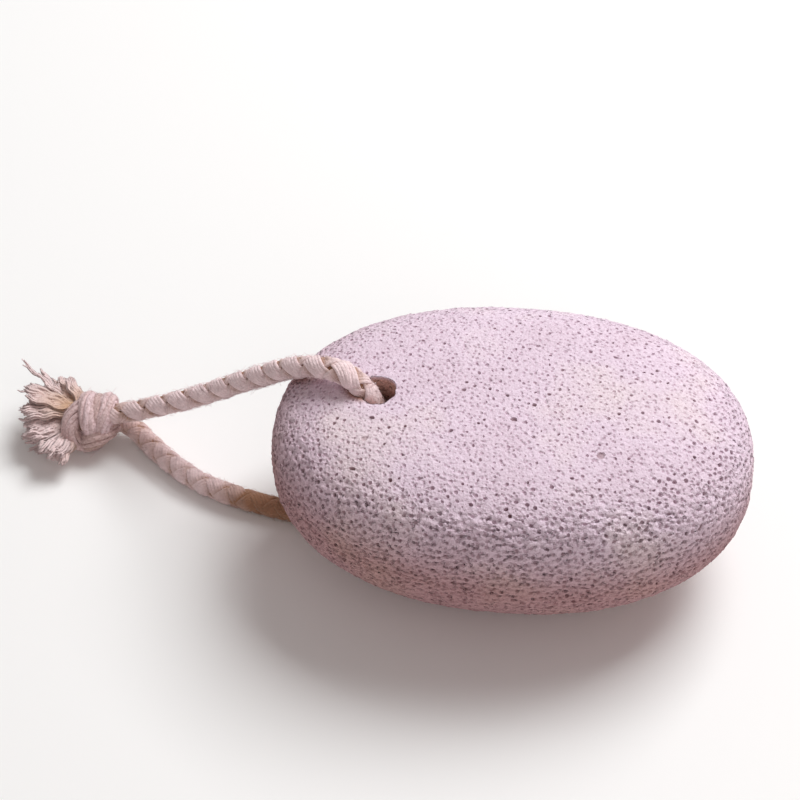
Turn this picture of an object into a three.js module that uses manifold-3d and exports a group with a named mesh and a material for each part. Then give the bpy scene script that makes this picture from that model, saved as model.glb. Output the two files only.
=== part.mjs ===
// A smooth oval pumice foot stone, threaded on a loop of braided cotton rope that is tied in
// an overhand knot and frays out into two short tufts.
//
// Millimetres, +Z up. The origin is under the middle of the stone, on the surface it rests on.
// The stone's long axis lies along X, and the rope leaves its end at -X.
import * as THREE from "three";
import { mergeVertices } from "three/addons/utils/BufferGeometryUtils.js";
import Module from "manifold-3d";

// Driving dimensions of the stone.
const LENGTH = 100;
const WIDTH = 68;
const CROWN = 20.5; // from the widest level up to the top
const BELLY = 25.4; // from the widest level down to the bottom, before the resting flat is worn
const REST_WEAR = 0.9; // what the resting flat takes off the bottom
const PLAN_POWER = 2.2; // 2 is an ellipse seen from above, more is squarer
const CROWN_POWER = 3.3; // the top is a flat pillow
const BELLY_POWER = 2.1; // the underside is round
const STONE_SEGMENTS = [64, 38]; // round the stone, and from pole to pole

// The hole for the rope, straight down through the stone.
const HOLE_DIAMETER = 7.4;
const HOLE_X = -27.1;
const HOLE_SIDES = 28;

// The rope.
const ROPE_DIAMETER = 4.8;
const ROPE_SIDES = 10;
const TOP_LEG_STEPS = 42;
const BOTTOM_LEG_STEPS = 34;
const GAP = 0.3; // left between two pieces that meet

// The knot: a core with two wraps of rope round it.
const KNOT_CENTRE = [-96.4, 18.9, 6.5];
const KNOT_CORE = [6.3, 6.2, 5.4]; // half sizes
const CORE_SEGMENTS = [24, 14];
const WRAP_RADIUS = 4.6; // of the wrap's centre line
const WRAP_ROPE = 2.1; // half the thickness of the squeezed rope
const WRAP_SEGMENTS = [10, 26];
const WRAP_TURNS = [
  [0, 1.3, 0.15],
  [0.9, 0.5, 0.5],
]; // about X, Y and Z

const LEVEL = BELLY - REST_WEAR; // height of the stone's widest level
const RADIUS = ROPE_DIAMETER / 2;

// Centre lines of the two legs of the loop, each from the middle of the hole to the knot.
const TOP_LEG = [
  [-26.6, 0, 22.3],
  [-26.8, 0, 29],
  [-27.3, 0, 35.5],
  [-28.6, 0.1, 40.6],
  [-30.8, 0.6, 44.4],
  [-34, 1.8, 46.3],
  [-37.6, 3.3, 46],
  [-41.1, 4.9, 44.5],
  [-44.6, 6.6, 42.1],
  [-48.4, 8.6, 38.9],
  [-52.2, 10.6, 34.9],
  [-57.2, 12.6, 30.5],
  [-65.6, 15.3, 23.3],
  [-74.4, 16.8, 17.3],
  [-81.8, 17.9, 13.1],
  [-86.5, 18.2, 11],
  [-91.2, 18.3, 9.5],
];
const BOTTOM_LEG = [
  [-26.6, 0, 21.9],
  [-26.7, 0, 16],
  [-27.3, 0, 10.8],
  [-28.8, 0, 6.6],
  [-31.2, 0, 3.9],
  [-34.5, -0.2, 2.65],
  [-38, -0.4, 2.45],
  [-42, -0.6, 2.45],
  [-47, -0.4, 2.45],
  [-52.5, 0.6, 2.45],
  [-58.6, 2.1, 2.45],
  [-65.5, 4.3, 2.45],
  [-71, 6.8, 2.45],
  [-75.6, 9.8, 2.45],
  [-79.9, 13.2, 2.5],
  [-83.8, 16.6, 2.8],
  [-87, 19.2, 3.5],
  [-91.2, 21, 4.6],
];

// The two frayed ends: where each tuft springs from the knot, which way it fans out, how long
// it is and its half width and half height at the tips.
const TUFTS = {
  frayed_end_back: {
    root: [-99.5, 22, 7],
    towards: [-0.87, 0.48, 0.03],
    length: 17,
    spread: [7.4, 4.9],
  },
  frayed_end_front: {
    root: [-100, 15.8, 6],
    towards: [-0.82, -0.57, -0.02],
    length: 14,
    spread: [7.4, 4.9],
  },
};
const TUFT_SIDES = 20;
const TUFT_ROOT_RADIUS = 2.3;
const TUFT_FLARE = [
  [0.42, 0.3],
  [0.82, 0.72],
  [1, 0.9],
  [0.8, 1],
  [0, 1],
]; // share of the half width at the tips, against share of the length

const wasm = await Module();
wasm.setup();

// A closed three.js geometry as a manifold solid.
function solidOf(geometry) {
  const bare = geometry.clone();
  bare.deleteAttribute("normal");
  bare.deleteAttribute("uv");
  const merged = mergeVertices(bare, 1e-4);
  return new wasm.Manifold(
    new wasm.Mesh({
      numProp: 3,
      vertProperties: merged.attributes.position.array,
      triVerts: new Uint32Array(merged.index.array),
    }),
  );
}

// A manifold solid back as a three.js geometry.
function geometryOf(solid) {
  const mesh = solid.getMesh();
  const geometry = new THREE.BufferGeometry();
  geometry.setAttribute("position", new THREE.BufferAttribute(mesh.vertProperties, 3));
  geometry.setIndex(new THREE.BufferAttribute(mesh.triVerts, 1));
  const flat = geometry.toNonIndexed();
  flat.computeVertexNormals();
  return flat;
}

// The stone's rounded body: each point of a unit sphere moves out to the pillow's surface.
function pillow() {
  const geometry = new THREE.SphereGeometry(1, ...STONE_SEGMENTS);
  geometry.rotateX(Math.PI / 2);
  const point = new THREE.Vector3();
  const positions = geometry.attributes.position;
  for (let i = 0; i < positions.count; i++) {
    point.fromBufferAttribute(positions, i);
    const above = point.z >= 0;
    const power = above ? CROWN_POWER : BELLY_POWER;
    const plan = Math.abs(point.x) ** PLAN_POWER + Math.abs(point.y) ** PLAN_POWER;
    const level = plan ** (power / PLAN_POWER) + Math.abs(point.z) ** power;
    const reach = level ** (-1 / power);
    positions.setXYZ(
      i,
      (point.x * reach * LENGTH) / 2,
      (point.y * reach * WIDTH) / 2,
      point.z * reach * (above ? CROWN : BELLY) + LEVEL,
    );
  }
  return solidOf(geometry);
}

// Everything below the surface that the object rests on.
function ground() {
  const depth = 10;
  const geometry = new THREE.BoxGeometry(4 * LENGTH, 4 * LENGTH, depth);
  geometry.translate(0, 0, -depth / 2);
  return solidOf(geometry);
}

// A rope of the given radius along a centre line.
function rope(points, steps, radius) {
  const section = new THREE.Shape();
  for (let side = 0; side < ROPE_SIDES; side++) {
    const turn = (2 * Math.PI * side) / ROPE_SIDES;
    const [x, y] = [radius * Math.cos(turn), radius * Math.sin(turn)];
    if (side === 0) section.moveTo(x, y);
    else section.lineTo(x, y);
  }
  section.closePath();
  const path = new THREE.CatmullRomCurve3(points.map((p) => new THREE.Vector3(...p)));
  const geometry = new THREE.ExtrudeGeometry(section, { steps, extrudePath: path });
  return solidOf(geometry);
}

const topLeg = () => rope(TOP_LEG, TOP_LEG_STEPS, RADIUS);
const bottomLeg = () => rope(BOTTOM_LEG, BOTTOM_LEG_STEPS, RADIUS);

// The room that the two legs need in a piece they meet: the gap all round and past their ends.
function roomForLegs() {
  const room = (points, steps) => {
    const [before, last] = points.slice(-2).map((p) => new THREE.Vector3(...p));
    const onward = last.clone().sub(before).setLength(GAP);
    return rope([...points, last.add(onward).toArray()], steps, RADIUS + GAP);
  };
  return room(TOP_LEG, TOP_LEG_STEPS).add(room(BOTTOM_LEG, BOTTOM_LEG_STEPS));
}

function stone() {
  const hole = new THREE.CylinderGeometry(
    HOLE_DIAMETER / 2,
    HOLE_DIAMETER / 2,
    3 * LEVEL,
    HOLE_SIDES,
  );
  hole.rotateX(Math.PI / 2);
  hole.translate(HOLE_X, 0, LEVEL);
  return pillow().subtract(ground()).subtract(solidOf(hole)).subtract(roomForLegs());
}

// The knot's outer shape, made larger all round by extra.
function knotBody(extra) {
  const core = new THREE.SphereGeometry(1, ...CORE_SEGMENTS);
  core.scale(...KNOT_CORE.map((half) => half + extra));
  core.translate(...KNOT_CENTRE);
  let body = solidOf(core);
  for (const [aboutX, aboutY, aboutZ] of WRAP_TURNS) {
    const wrap = new THREE.TorusGeometry(WRAP_RADIUS, WRAP_ROPE + extra, ...WRAP_SEGMENTS);
    wrap.rotateX(aboutX);
    wrap.rotateY(aboutY);
    wrap.rotateZ(aboutZ);
    wrap.translate(...KNOT_CENTRE);
    body = body.add(solidOf(wrap));
  }
  return body;
}

// The knot has a socket round the end of each leg.
function knot() {
  return knotBody(0).subtract(roomForLegs()).subtract(ground());
}

// A frayed end: a flared brush, which widens from the rope's own size to its tips.
function tuft({ root, towards, length, spread }) {
  const flare = TUFT_FLARE.map(([across, along]) => [across * spread[0], along * length]);
  const outline = [[0, 0], [TUFT_ROOT_RADIUS, 0], ...flare];
  const profile = outline.map(([r, h]) => new THREE.Vector2(r, h));
  const geometry = new THREE.LatheGeometry(profile, TUFT_SIDES);
  geometry.scale(1, 1, spread[1] / spread[0]);
  const axis = new THREE.Vector3(...towards).normalize();
  const side = new THREE.Vector3(0, 0, 1).cross(axis).normalize();
  const up = axis.clone().cross(side);
  geometry.applyMatrix4(new THREE.Matrix4().makeBasis(side, axis, up.negate()));
  geometry.translate(...root);
  return solidOf(geometry).subtract(knotBody(GAP)).subtract(ground());
}

function mesh(name, solid, color, roughness) {
  const material = new THREE.MeshStandardMaterial({ color, roughness, metalness: 0 });
  const made = new THREE.Mesh(geometryOf(solid), material);
  made.name = name;
  return made;
}

const part = new THREE.Group();
part.add(mesh("pumice_stone", stone(), 0xdccad6, 0.95));
part.add(mesh("rope_top_leg", topLeg(), 0xe2cdc2, 0.9));
part.add(mesh("rope_bottom_leg", bottomLeg(), 0xe2cdc2, 0.9));
part.add(mesh("rope_knot", knot(), 0xe0cac2, 0.9));
for (const [name, spec] of Object.entries(TUFTS))
  part.add(mesh(name, tuft(spec), 0xe4cfc2, 0.95));

export default part;
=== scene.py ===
"""The looks of a pumice foot stone on a loop of braided cotton rope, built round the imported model.

Everything is in metres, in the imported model's own frame: +Z up, the stone's long axis along X.
"""

import itertools
import math

import bpy
import numpy as np
from mathutils import Matrix, Vector, noise
from mathutils.geometry import delaunay_2d_cdt


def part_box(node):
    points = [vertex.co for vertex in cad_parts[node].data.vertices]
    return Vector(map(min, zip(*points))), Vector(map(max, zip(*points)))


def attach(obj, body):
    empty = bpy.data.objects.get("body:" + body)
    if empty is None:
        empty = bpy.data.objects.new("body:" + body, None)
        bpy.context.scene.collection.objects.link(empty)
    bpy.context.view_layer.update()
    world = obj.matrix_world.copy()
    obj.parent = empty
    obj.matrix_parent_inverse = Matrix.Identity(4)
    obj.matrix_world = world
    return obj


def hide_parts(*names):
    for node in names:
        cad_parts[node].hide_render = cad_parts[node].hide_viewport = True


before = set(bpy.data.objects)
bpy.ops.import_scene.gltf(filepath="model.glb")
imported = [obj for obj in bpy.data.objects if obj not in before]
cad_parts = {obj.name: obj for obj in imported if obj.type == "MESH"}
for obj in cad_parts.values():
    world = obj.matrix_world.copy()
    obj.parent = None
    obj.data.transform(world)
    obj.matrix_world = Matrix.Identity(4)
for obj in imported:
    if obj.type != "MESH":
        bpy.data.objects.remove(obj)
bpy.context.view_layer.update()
MM = 0.001

# ---------------- camera

CAMERA_DISTANCE = 450 * MM
CAMERA_ELEVATION = math.radians(50)
CAMERA_YAW = math.radians(5)  # the stone's far end turns towards the camera
CAMERA_PIVOT = 2 * MM  # above the stone's middle
CAMERA_AIM = (-23.2 * MM, 12.7 * MM)  # right and up from there, seen from the camera
FIELD_WIDTH = 167.9 * MM  # what the picture takes in at that distance
SENSOR = 36


def picture_axes():
    """The directions to the right, up and towards the camera."""
    right = np.array([math.cos(CAMERA_YAW), math.sin(CAMERA_YAW), 0])
    level = np.array([-math.sin(CAMERA_YAW), math.cos(CAMERA_YAW), 0])
    towards = -level * math.cos(CAMERA_ELEVATION) + np.array([0, 0, math.sin(CAMERA_ELEVATION)])
    return np.stack([right, np.cross(towards, right), towards])


def make_camera():
    right, up, towards = (Vector(axis) for axis in picture_axes())
    stone_low, stone_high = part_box("pumice_stone")
    pivot = (Vector(stone_low) + Vector(stone_high)) / 2 + Vector((0, 0, CAMERA_PIVOT))
    place = pivot + towards * CAMERA_DISTANCE
    target = pivot + right * CAMERA_AIM[0] + up * CAMERA_AIM[1]
    towards_stone = Matrix((right, up, towards)).transposed()
    swing = (-towards).rotation_difference((target - place).normalized()).to_matrix()
    data = bpy.data.cameras.new("camera")
    data.sensor_width = SENSOR
    data.lens = SENSOR * CAMERA_DISTANCE / FIELD_WIDTH
    camera = bpy.data.objects.new("camera", data)
    camera.matrix_world = Matrix.Translation(place) @ (swing @ towards_stone).to_4x4()
    bpy.context.collection.objects.link(camera)
    bpy.context.scene.camera = camera


# ---------------- meshes


def unit(vectors):
    return vectors / np.linalg.norm(vectors, axis=-1, keepdims=True)


def dot(a, b):
    return (a * b).sum(axis=-1, keepdims=True)


def turns(count):
    """Angles evenly spaced round a circle."""
    return 2 * math.pi * np.arange(count) / count


def one_each(value, count):
    """One number, or one for each of count points, as an array of count numbers."""
    return np.broadcast_to(np.asarray(value, float), (count,))


def run_along(line):
    """How far along a line each of its points is."""
    return np.concatenate([[0], np.cumsum(np.linalg.norm(np.diff(line, axis=0), axis=1))])


def make_object(name, points, faces, values=None, uv=None):
    """A smooth-shaded mesh object. values are float attributes of its points, by name, and uv
    holds a place for each corner of its faces."""
    mesh = bpy.data.meshes.new(name)
    mesh.from_pydata(points.tolist(), [], faces)
    for key, numbers in (values or {}).items():
        layer = mesh.attributes.new(key, "FLOAT", "POINT")
        layer.data.foreach_set("value", np.asarray(numbers, np.float32))
    if uv is not None:
        mesh.uv_layers.new(name="lay").data.foreach_set("uv", np.asarray(uv, np.float32).ravel())
    mesh.shade_smooth()
    made = bpy.data.objects.new(name, mesh)
    bpy.context.collection.objects.link(made)
    return made


class Tubes:
    """Closed tubes gathered into one mesh. Their UVs run round each tube and along it."""

    def __init__(self, sides):
        self.sides = sides
        self.points, self.faces, self.uv, self.depth = [], [], [], []
        self.count = 0

    def add(self, centres, outward, wide, thick, depth=0.0, sides=None):
        """Adds a tube on its centre points. outward points away from the rope, wide and thick are
        half sizes across that and along it, and depth is how deep its painted shade is. Each of the
        three is one number or one for each point. sides is given where it differs from the others'."""
        sides, rings = sides or self.sides, len(centres)
        tangent = unit(np.gradient(centres, axis=0))
        outward = unit(outward - tangent * dot(outward, tangent))
        across = np.cross(outward, tangent)
        turn = turns(sides)
        wide = one_each(wide, rings)[:, None, None]
        thick = one_each(thick, rings)[:, None, None]
        ring = (
            across[:, None] * np.cos(turn)[None, :, None] * wide
            + outward[:, None] * np.sin(turn)[None, :, None] * thick
        )
        self.points.append((centres[:, None] + ring).reshape(-1, 3))
        self.depth.append(np.repeat(one_each(depth, rings), sides))
        self._add_faces(rings, sides)
        self._add_uv(run_along(centres), sides, 2 * math.pi * float(np.mean(wide)))
        self.count += rings * sides

    def _add_faces(self, rings, sides):
        """The tube's wall and its two end caps."""
        near = np.arange(rings - 1)[:, None] * sides + np.arange(sides)[None]
        near_next = np.arange(rings - 1)[:, None] * sides + (np.arange(sides)[None] + 1) % sides
        quads = np.stack([near, near_next, near_next + sides, near + sides], axis=-1) + self.count
        self.faces += quads.reshape(-1, 4).tolist()
        first, last = self.count, self.count + (rings - 1) * sides
        self.faces.append([first + j for j in reversed(range(sides))])
        self.faces.append([last + j for j in range(sides)])

    def _add_uv(self, run, sides, girth):
        """The UVs of the corners of the wall, round and along the tube, and of the caps."""
        u = np.arange(sides + 1) / sides * girth
        u = np.stack([u[:-1], u[1:], u[1:], u[:-1]], axis=1)
        v = np.stack([run[:-1], run[:-1], run[1:], run[1:]], axis=1)
        corners = np.stack(np.broadcast_arrays(u[None], v[:, None]), axis=-1)
        self.uv += [corners.reshape(-1, 2), np.zeros((2 * sides, 2))]

    def make(self, name, lowest):
        points = np.concatenate(self.points)
        points[:, 2] = np.maximum(points[:, 2], lowest)
        depth = np.concatenate(self.depth)
        return make_object(name, points, self.faces, {"depth": depth}, np.concatenate(self.uv))


# ---------------- rope

ROPE_DIAMETER = 4.8 * MM
ROPE_STEP = 0.42 * MM
ROPE_SIDE = (0, 1, 0)  # where the angles round a leg start
ROPE_LOWEST = 0.02 * MM  # above the floor
CURVE_STEPS = 32  # between two points of a route, before they are spaced evenly
STRAND_ORBIT = 1.08 * MM
STRAND_RISE = 0.42 * MM  # how far a strand climbs over and dives under
CROSSING = 1.5  # how sharply it goes from over to under
UNDER_DEPTH = 0.42  # how deep the painted shade on a strand is half way, where it dives under
YARNS = 6  # side by side in a strand
YARN_SPACING = 0.54 * MM
YARN_CROWN = 0.64 * MM  # how far a strand's middle stands above its edges
YARN_HALF = (0.55 * MM, 0.41 * MM)
YARN_SIDES = 8
ROPE_CORE = 1.7 * MM
CORE_FACING = np.array([0, 0.6, 0.8])
CORE_DEPTH = 0.9  # how deep the painted shade is on the core between the strands

# Slow random variations: how much, and the lengths of their waves in millimetres.
ANGLE_SWAY = (0.05, 1.9, 3.7, 6.3)
ORBIT_SWAY = (0.02, 1.3, 2.9)
YARN_SWAY = (0.05, 1.1, 2.3)
WIDE_SWAY = (0.06, 0.9, 1.7)
THICK_SWAY = (0.06, 0.8, 1.9)
PHASES = 7  # a wave starts anywhere up to this

FUZZ = 14  # loose fibres to each millimetre of rope
FUZZ_STEPS = 5
FUZZ_SIDES = 3
FUZZ_HALF = 0.028 * MM
FUZZ_TURN = 0.45  # how far round the rope a fibre strays
FUZZ_START = (-0.1, 0.05)  # how far off the rope it starts, in millimetres
FUZZ_LIFT = 0.22  # how much further off it usually ends
FUZZ_LENGTH = (0.5, 2)

PRESSED = (0.16, 27 * MM, 6 * MM)  # where the rope is pressed wider over the stone's edge
KNOT_END_SHADE = 0.26  # how deep the painted shade on the rope is where the legs meet the knot
KNOT_END_SHADE_REACH = 15 * MM  # how far from the knot that painted shade reaches
LEG_SHADE = (0.14, 0.78)  # the painted shade of a leg that lies in the stone's shadow: far from the stone, and what it gains near it
LEG_SHADE_EDGE = 2.5 * MM  # how softly the deeper painted shade near the stone ends
LEG_SHADE_REACH = 35 * MM

# The lay of each leg's braid, as braid() takes it.
TOP_LAY = (13.2 * MM, 0.1, 0.6)
BOTTOM_LAY = (11 * MM, 0.7, 0)

# Centre lines of the rope's two legs, each from the middle of the hole to the knot.
TOP_LEG = [
    (-0.0266, 0, 0.0223), (-0.0268, 0, 0.029), (-0.0273, 0, 0.0355), (-0.0286, 0.0001, 0.0406),
    (-0.0308, 0.0006, 0.0444), (-0.034, 0.0018, 0.0463), (-0.0376, 0.0033, 0.046),
    (-0.0411, 0.0049, 0.0445), (-0.0446, 0.0066, 0.0421), (-0.0484, 0.0086, 0.0389),
    (-0.0522, 0.0106, 0.0349), (-0.0572, 0.0126, 0.0305), (-0.0656, 0.0153, 0.0233),
    (-0.0744, 0.0168, 0.0173), (-0.0818, 0.0179, 0.0131), (-0.0865, 0.0182, 0.011),
    (-0.0912, 0.0183, 0.0095),
]
BOTTOM_LEG = [
    (-0.0266, 0, 0.0219), (-0.0267, 0, 0.016), (-0.0273, 0, 0.0108), (-0.0288, 0, 0.0066),
    (-0.0312, 0, 0.0039), (-0.0345, -0.0002, 0.00265), (-0.038, -0.0004, 0.00245),
    (-0.042, -0.0006, 0.00245), (-0.047, -0.0004, 0.00245), (-0.0525, 0.0006, 0.00245),
    (-0.0586, 0.0021, 0.00245), (-0.0655, 0.0043, 0.00245), (-0.071, 0.0068, 0.00245),
    (-0.0756, 0.0098, 0.00245), (-0.0799, 0.0132, 0.0025), (-0.0838, 0.0166, 0.0028),
    (-0.087, 0.0192, 0.0035), (-0.0912, 0.021, 0.0046),
]


def between(a, b, start, end, at):
    """What lies between a, at the start, and b, at the end."""
    return ((end - at) * a + (at - start) * b) / (end - start)


def curve_through(points, step):
    """Evenly spaced points, about a step apart, on a centripetal Catmull-Rom curve."""
    p = np.array(points, float)
    p = np.vstack([2 * p[0] - p[1], p, 2 * p[-1] - p[-2]])
    knots = np.concatenate([[0], np.cumsum(np.sqrt(np.linalg.norm(np.diff(p, axis=0), axis=1)))])
    fine = []
    for i in range(1, len(p) - 2):
        t0, t1, t2, t3 = knots[i - 1 : i + 3]
        t = np.linspace(t1, t2, CURVE_STEPS, endpoint=False)[:, None]
        a1 = between(p[i - 1], p[i], t0, t1, t)
        a2 = between(p[i], p[i + 1], t1, t2, t)
        a3 = between(p[i + 1], p[i + 2], t2, t3, t)
        fine.append(between(between(a1, a2, t0, t2, t), between(a2, a3, t1, t3, t), t1, t2, t))
    fine.append(p[-2][None])
    fine = np.concatenate(fine)
    run = run_along(fine)
    at = np.linspace(0, run[-1], max(2, round(run[-1] / step)) + 1)
    return np.stack([np.interp(at, run, fine[:, k]) for k in range(3)], axis=1)


def sides_along(line, first_side):
    """A side direction at each point of a line, carried along without twisting."""
    tangents = unit(np.gradient(line, axis=0))
    side = np.array(first_side, float)
    sides = []
    for tangent in tangents:
        side = side - tangent * side.dot(tangent)
        side = side / np.linalg.norm(side)
        sides.append(side)
    return tangents, np.array(sides)


def facing_at(angle, side, up):
    """The direction at each angle round a rope."""
    return np.cos(angle)[:, None] * side + np.sin(angle)[:, None] * up


def braid(tubes, line, lay, seed, shade_depth, spread=None):
    """Lays a round braid of four strands along a line, two turning each way, each over one and under
    one. lay is the length of one turn, the angle from the camera's side at which a column of the
    braid faces, and how much longer the strands that turn one way stay on top. stain is how deep its
    painted shade is and spread is the rope's widening sideways, at each point."""
    pitch, turn, lean = lay
    rng = np.random.default_rng(seed)
    tangents, side = sides_along(line, ROPE_SIDE)
    up = np.cross(tangents, side)
    towards_camera = picture_axes()[2]
    turn = turn + np.unwrap(np.arctan2(up @ towards_camera, side @ towards_camera))
    run = run_along(line)

    def sway(amount, *lengths):
        """A slow random variation along the line."""
        waves = [np.sin(run / (length * MM) + rng.uniform(0, PHASES)) for length in lengths]
        return sum(rng.normal(0, amount) * wave for wave in waves)

    for direction in (1, -1):
        for start in (0, math.pi):
            angle = direction * 2 * math.pi * run / pitch + start + sway(*ANGLE_SWAY)
            over = np.tanh(CROSSING * direction * (np.cos(2 * angle) + lean))
            reach = (STRAND_ORBIT + STRAND_RISE * over) * (1 + sway(*ORBIT_SWAY))
            facing = facing_at(angle + turn, side, up)
            centre = line + facing * reach[:, None]
            heading = unit(np.gradient(centre, axis=0))
            outward = unit(facing - heading * dot(facing, heading))
            across = np.cross(outward, heading)
            for yarn in range(YARNS):
                offset = yarn - (YARNS - 1) / 2 + sway(*YARN_SWAY)[:, None]
                crown = YARN_CROWN * (1 - (2 * offset / YARNS) ** 2)
                middle = centre + across * offset * YARN_SPACING + outward * crown
                if spread is not None:
                    level = unit(np.cross(tangents, (0, 0, 1)))
                    middle += level * dot(middle - line, level) * (spread[:, None] - 1)
                wide = YARN_HALF[0] * (1 + sway(*WIDE_SWAY))
                thick = YARN_HALF[1] * (1 + sway(*THICK_SWAY))
                tubes.add(middle, outward, wide, thick, UNDER_DEPTH * (1 - over) + shade_depth)


def add_fuzz(tubes, line, radius, seed, shade_depth):
    """Loose fibres that lie roughly along the rope and stand a little off it."""
    rng = np.random.default_rng(seed)
    shade_depth = one_each(shade_depth, len(line))
    tangents, side = sides_along(line, ROPE_SIDE)
    up = np.cross(tangents, side)
    share = np.linspace(0, 1, FUZZ_STEPS)
    for _ in range(round(FUZZ * len(line) * ROPE_STEP / MM)):
        at = rng.integers(len(line))
        angle = rng.uniform(0, 2 * math.pi) + share * rng.normal(0, FUZZ_TURN)
        facing = facing_at(angle, side[at], up[at])
        lift = rng.uniform(*FUZZ_START) + rng.exponential(FUZZ_LIFT) * share**1.5
        along = rng.choice((-1, 1)) * rng.uniform(*FUZZ_LENGTH) * share
        path = line[at] + (tangents[at] * along[:, None] + facing * lift[:, None]) * MM
        tubes.add(path + facing * radius, facing, FUZZ_HALF, FUZZ_HALF, shade_depth[at], FUZZ_SIDES)


def make_leg(name, route, lay, seed, pressed=None, shade_reach=0.0):
    """A leg of the rope and its centre line. lay is that of its braid, pressed is a share by which it
    is flattened sideways, about a distance along it and over a reach, and brown is how far from the
    hole the painted shade of the stone lies on it."""
    line = curve_through(route, ROPE_STEP)
    run = np.arange(len(line)) * ROPE_STEP
    spread = np.ones(len(line))
    if pressed:
        share, at, reach = pressed
        spread += share * np.exp(-(((run - at) / reach) ** 2))
    # painted shade near the knot
    shade_depth = KNOT_END_SHADE * np.exp(-(((run[-1] - run) / KNOT_END_SHADE_REACH) ** 2))
    # painted shade of the stone's shadow on the leg
    if shade_reach:
        away = np.hypot(line[:, 0] - line[0, 0], line[:, 1] - line[0, 1])
        shade_depth += LEG_SHADE[0] + LEG_SHADE[1] / (1 + np.exp((away - shade_reach) / LEG_SHADE_EDGE))
    tubes = Tubes(YARN_SIDES)
    braid(tubes, line, lay, seed, shade_depth, spread)
    tubes.add(line, CORE_FACING, ROPE_CORE, ROPE_CORE, CORE_DEPTH)
    add_fuzz(tubes, line, ROPE_DIAMETER / 2, seed, shade_depth)
    return tubes.make(name, ROPE_LOWEST), line


# ---------------- knot

KNOT_MIDDLE = np.array([-96.4, 18.9, 6.5]) * MM
KNOT_ROPE = 2.25 * MM  # half the thickness of the rope in the knot
KNOT_LAY = (11 * MM, 0.1, 0.5)
# How deep the painted shade on each turn of the knot is: the lobe and the band, lower down, are
# darker.
KNOT_TURN_SHADE = {"lobe": 0.3, "band": 0.46, "left_wrap": 0.13, "right_wrap": 0.13}

# The plies of a pulled-tight length of the rope.
PLIES = 9
PLY_PITCH = 30 * MM
PLY_HALF = (0.7 * MM, 0.6 * MM)
PLY_WIDER = (0.85, 1.2)
PLY_THICKER = (0.9, 1.15)
PLY_WAVES = (1.6 * MM, 2.9 * MM)
PLY_SWAY = 0.09
PLY_LIFT = 0.07 * MM
PLY_STAIN = 0.2  # at most, over that of its turn of the knot

GROOVE_HALF = 1.55 * MM  # half the thickness of what fills the groove between the two wraps
GROOVE_REACH = 1.06  # how far out it lies, as a share of how far the wraps do
# How deep the painted shade in the groove between the wraps is.
GROOVE_SHADE = 0.4

# The ball that fills the knot.
BALL_MIDDLE = (0, -0.8, 0)
BALL_HALF = 4.6 * MM
BALL_GIRTH = 0.88
BALL_RINGS = 13

TURN_SEED = 40
GROOVE_SEED = 44
KNOT_LEG_SEED = 50

# Each turn of the knot, as right, up and towards the camera from the knot's middle.
KNOT_TURNS = {
    "lobe": [
        (-0.6, 3.4, 0.4), (-1.9, 2.7, 1.6), (-3.3, 1.5, 2.3), (-4.4, -0.6, 2.6),
        (-4.5, -2.7, 2.2), (-3.3, -4.5, 1.3), (-1.4, -5.3, -0.4), (0.6, -4.6, -2.4),
    ],
    "band": [
        (3.2, 1.4, -3.4), (4.1, -0.4, -1.2), (3.8, -2.1, 1.2), (2.4, -3.5, 2.4),
        (0.6, -4.5, 2.5), (-0.9, -4.9, 0.9), (-1.8, -4.0, -1.8),
    ],
    "left_wrap": [
        (-1.2, 0.5, -4.0), (-0.8, 3.2, -2.8), (-0.8, 4.2, -0.2), (-0.7, 3.7, 2.3),
        (-0.4, 1.6, 3.7), (0.1, -1.1, 3.8), (0.6, -2.8, 2.5), (0.7, -3.5, 0.6),
    ],
    "right_wrap": [
        (2.4, 0.2, -4.2), (3.0, 3.0, -2.8), (3.4, 4.0, -0.2), (3.6, 3.5, 2.2), (3.5, 1.6, 3.5),
        (3.0, -0.8, 3.5), (2.6, -2.5, 2.5), (1.9, -3.2, 0.6),
    ],
}
# Where the two legs run into the knot.
KNOT_LEGS = {
    "over": [(4.9, 1.1, 2.6), (3.8, 0.9, 1.8), (2.4, 0.6, 0.9), (0.8, 0.2, 0.2)],
    "under": [(5.1, 0.1, -2.2), (3.9, -0.1, -1.5), (2.4, -0.3, -0.8), (0.8, -0.4, -0.2)],
}


def in_knot(places):
    """Places set out from the knot's middle, as right, up and towards the camera."""
    return KNOT_MIDDLE + np.array(places, float) * MM @ picture_axes()


def bundle(tubes, line, first_side, seed, radius, shade_depth):
    """Lays a pulled-tight length of the rope along a line: its plies are nearly parallel."""
    rng = np.random.default_rng(seed)
    tangents, side = sides_along(line, first_side)
    up = np.cross(tangents, side)
    run = run_along(line)
    inner = radius - PLY_HALF[1]
    for ply in range(PLIES):
        angle = 2 * math.pi * (ply / PLIES + run / PLY_PITCH)
        for wave in PLY_WAVES:
            angle = angle + rng.normal(0, PLY_SWAY) * np.sin(run / wave + rng.uniform(0, PHASES))
        facing = facing_at(angle, side, up)
        reach = inner + rng.normal(0, PLY_LIFT)
        half = (PLY_HALF[0] * rng.uniform(*PLY_WIDER), PLY_HALF[1] * rng.uniform(*PLY_THICKER))
        tubes.add(line + facing * reach, facing, *half, shade_depth + PLY_STAIN * rng.random())
    tubes.add(line, side, inner, inner, CORE_DEPTH)
    add_fuzz(tubes, line, radius, seed, shade_depth)


def add_ball(tubes):
    """Fills the middle of the knot, in the full painted shade, so that nothing shows through it."""
    share = np.linspace(-0.98, 0.98, BALL_RINGS)
    line = in_knot(BALL_MIDDLE) + share[:, None] * np.array([BALL_HALF, 0, 0])
    half = BALL_GIRTH * BALL_HALF * np.sqrt(1 - share**2)
    tubes.add(line, np.array([0, 0, 1.0]), half, half, 1)


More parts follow.
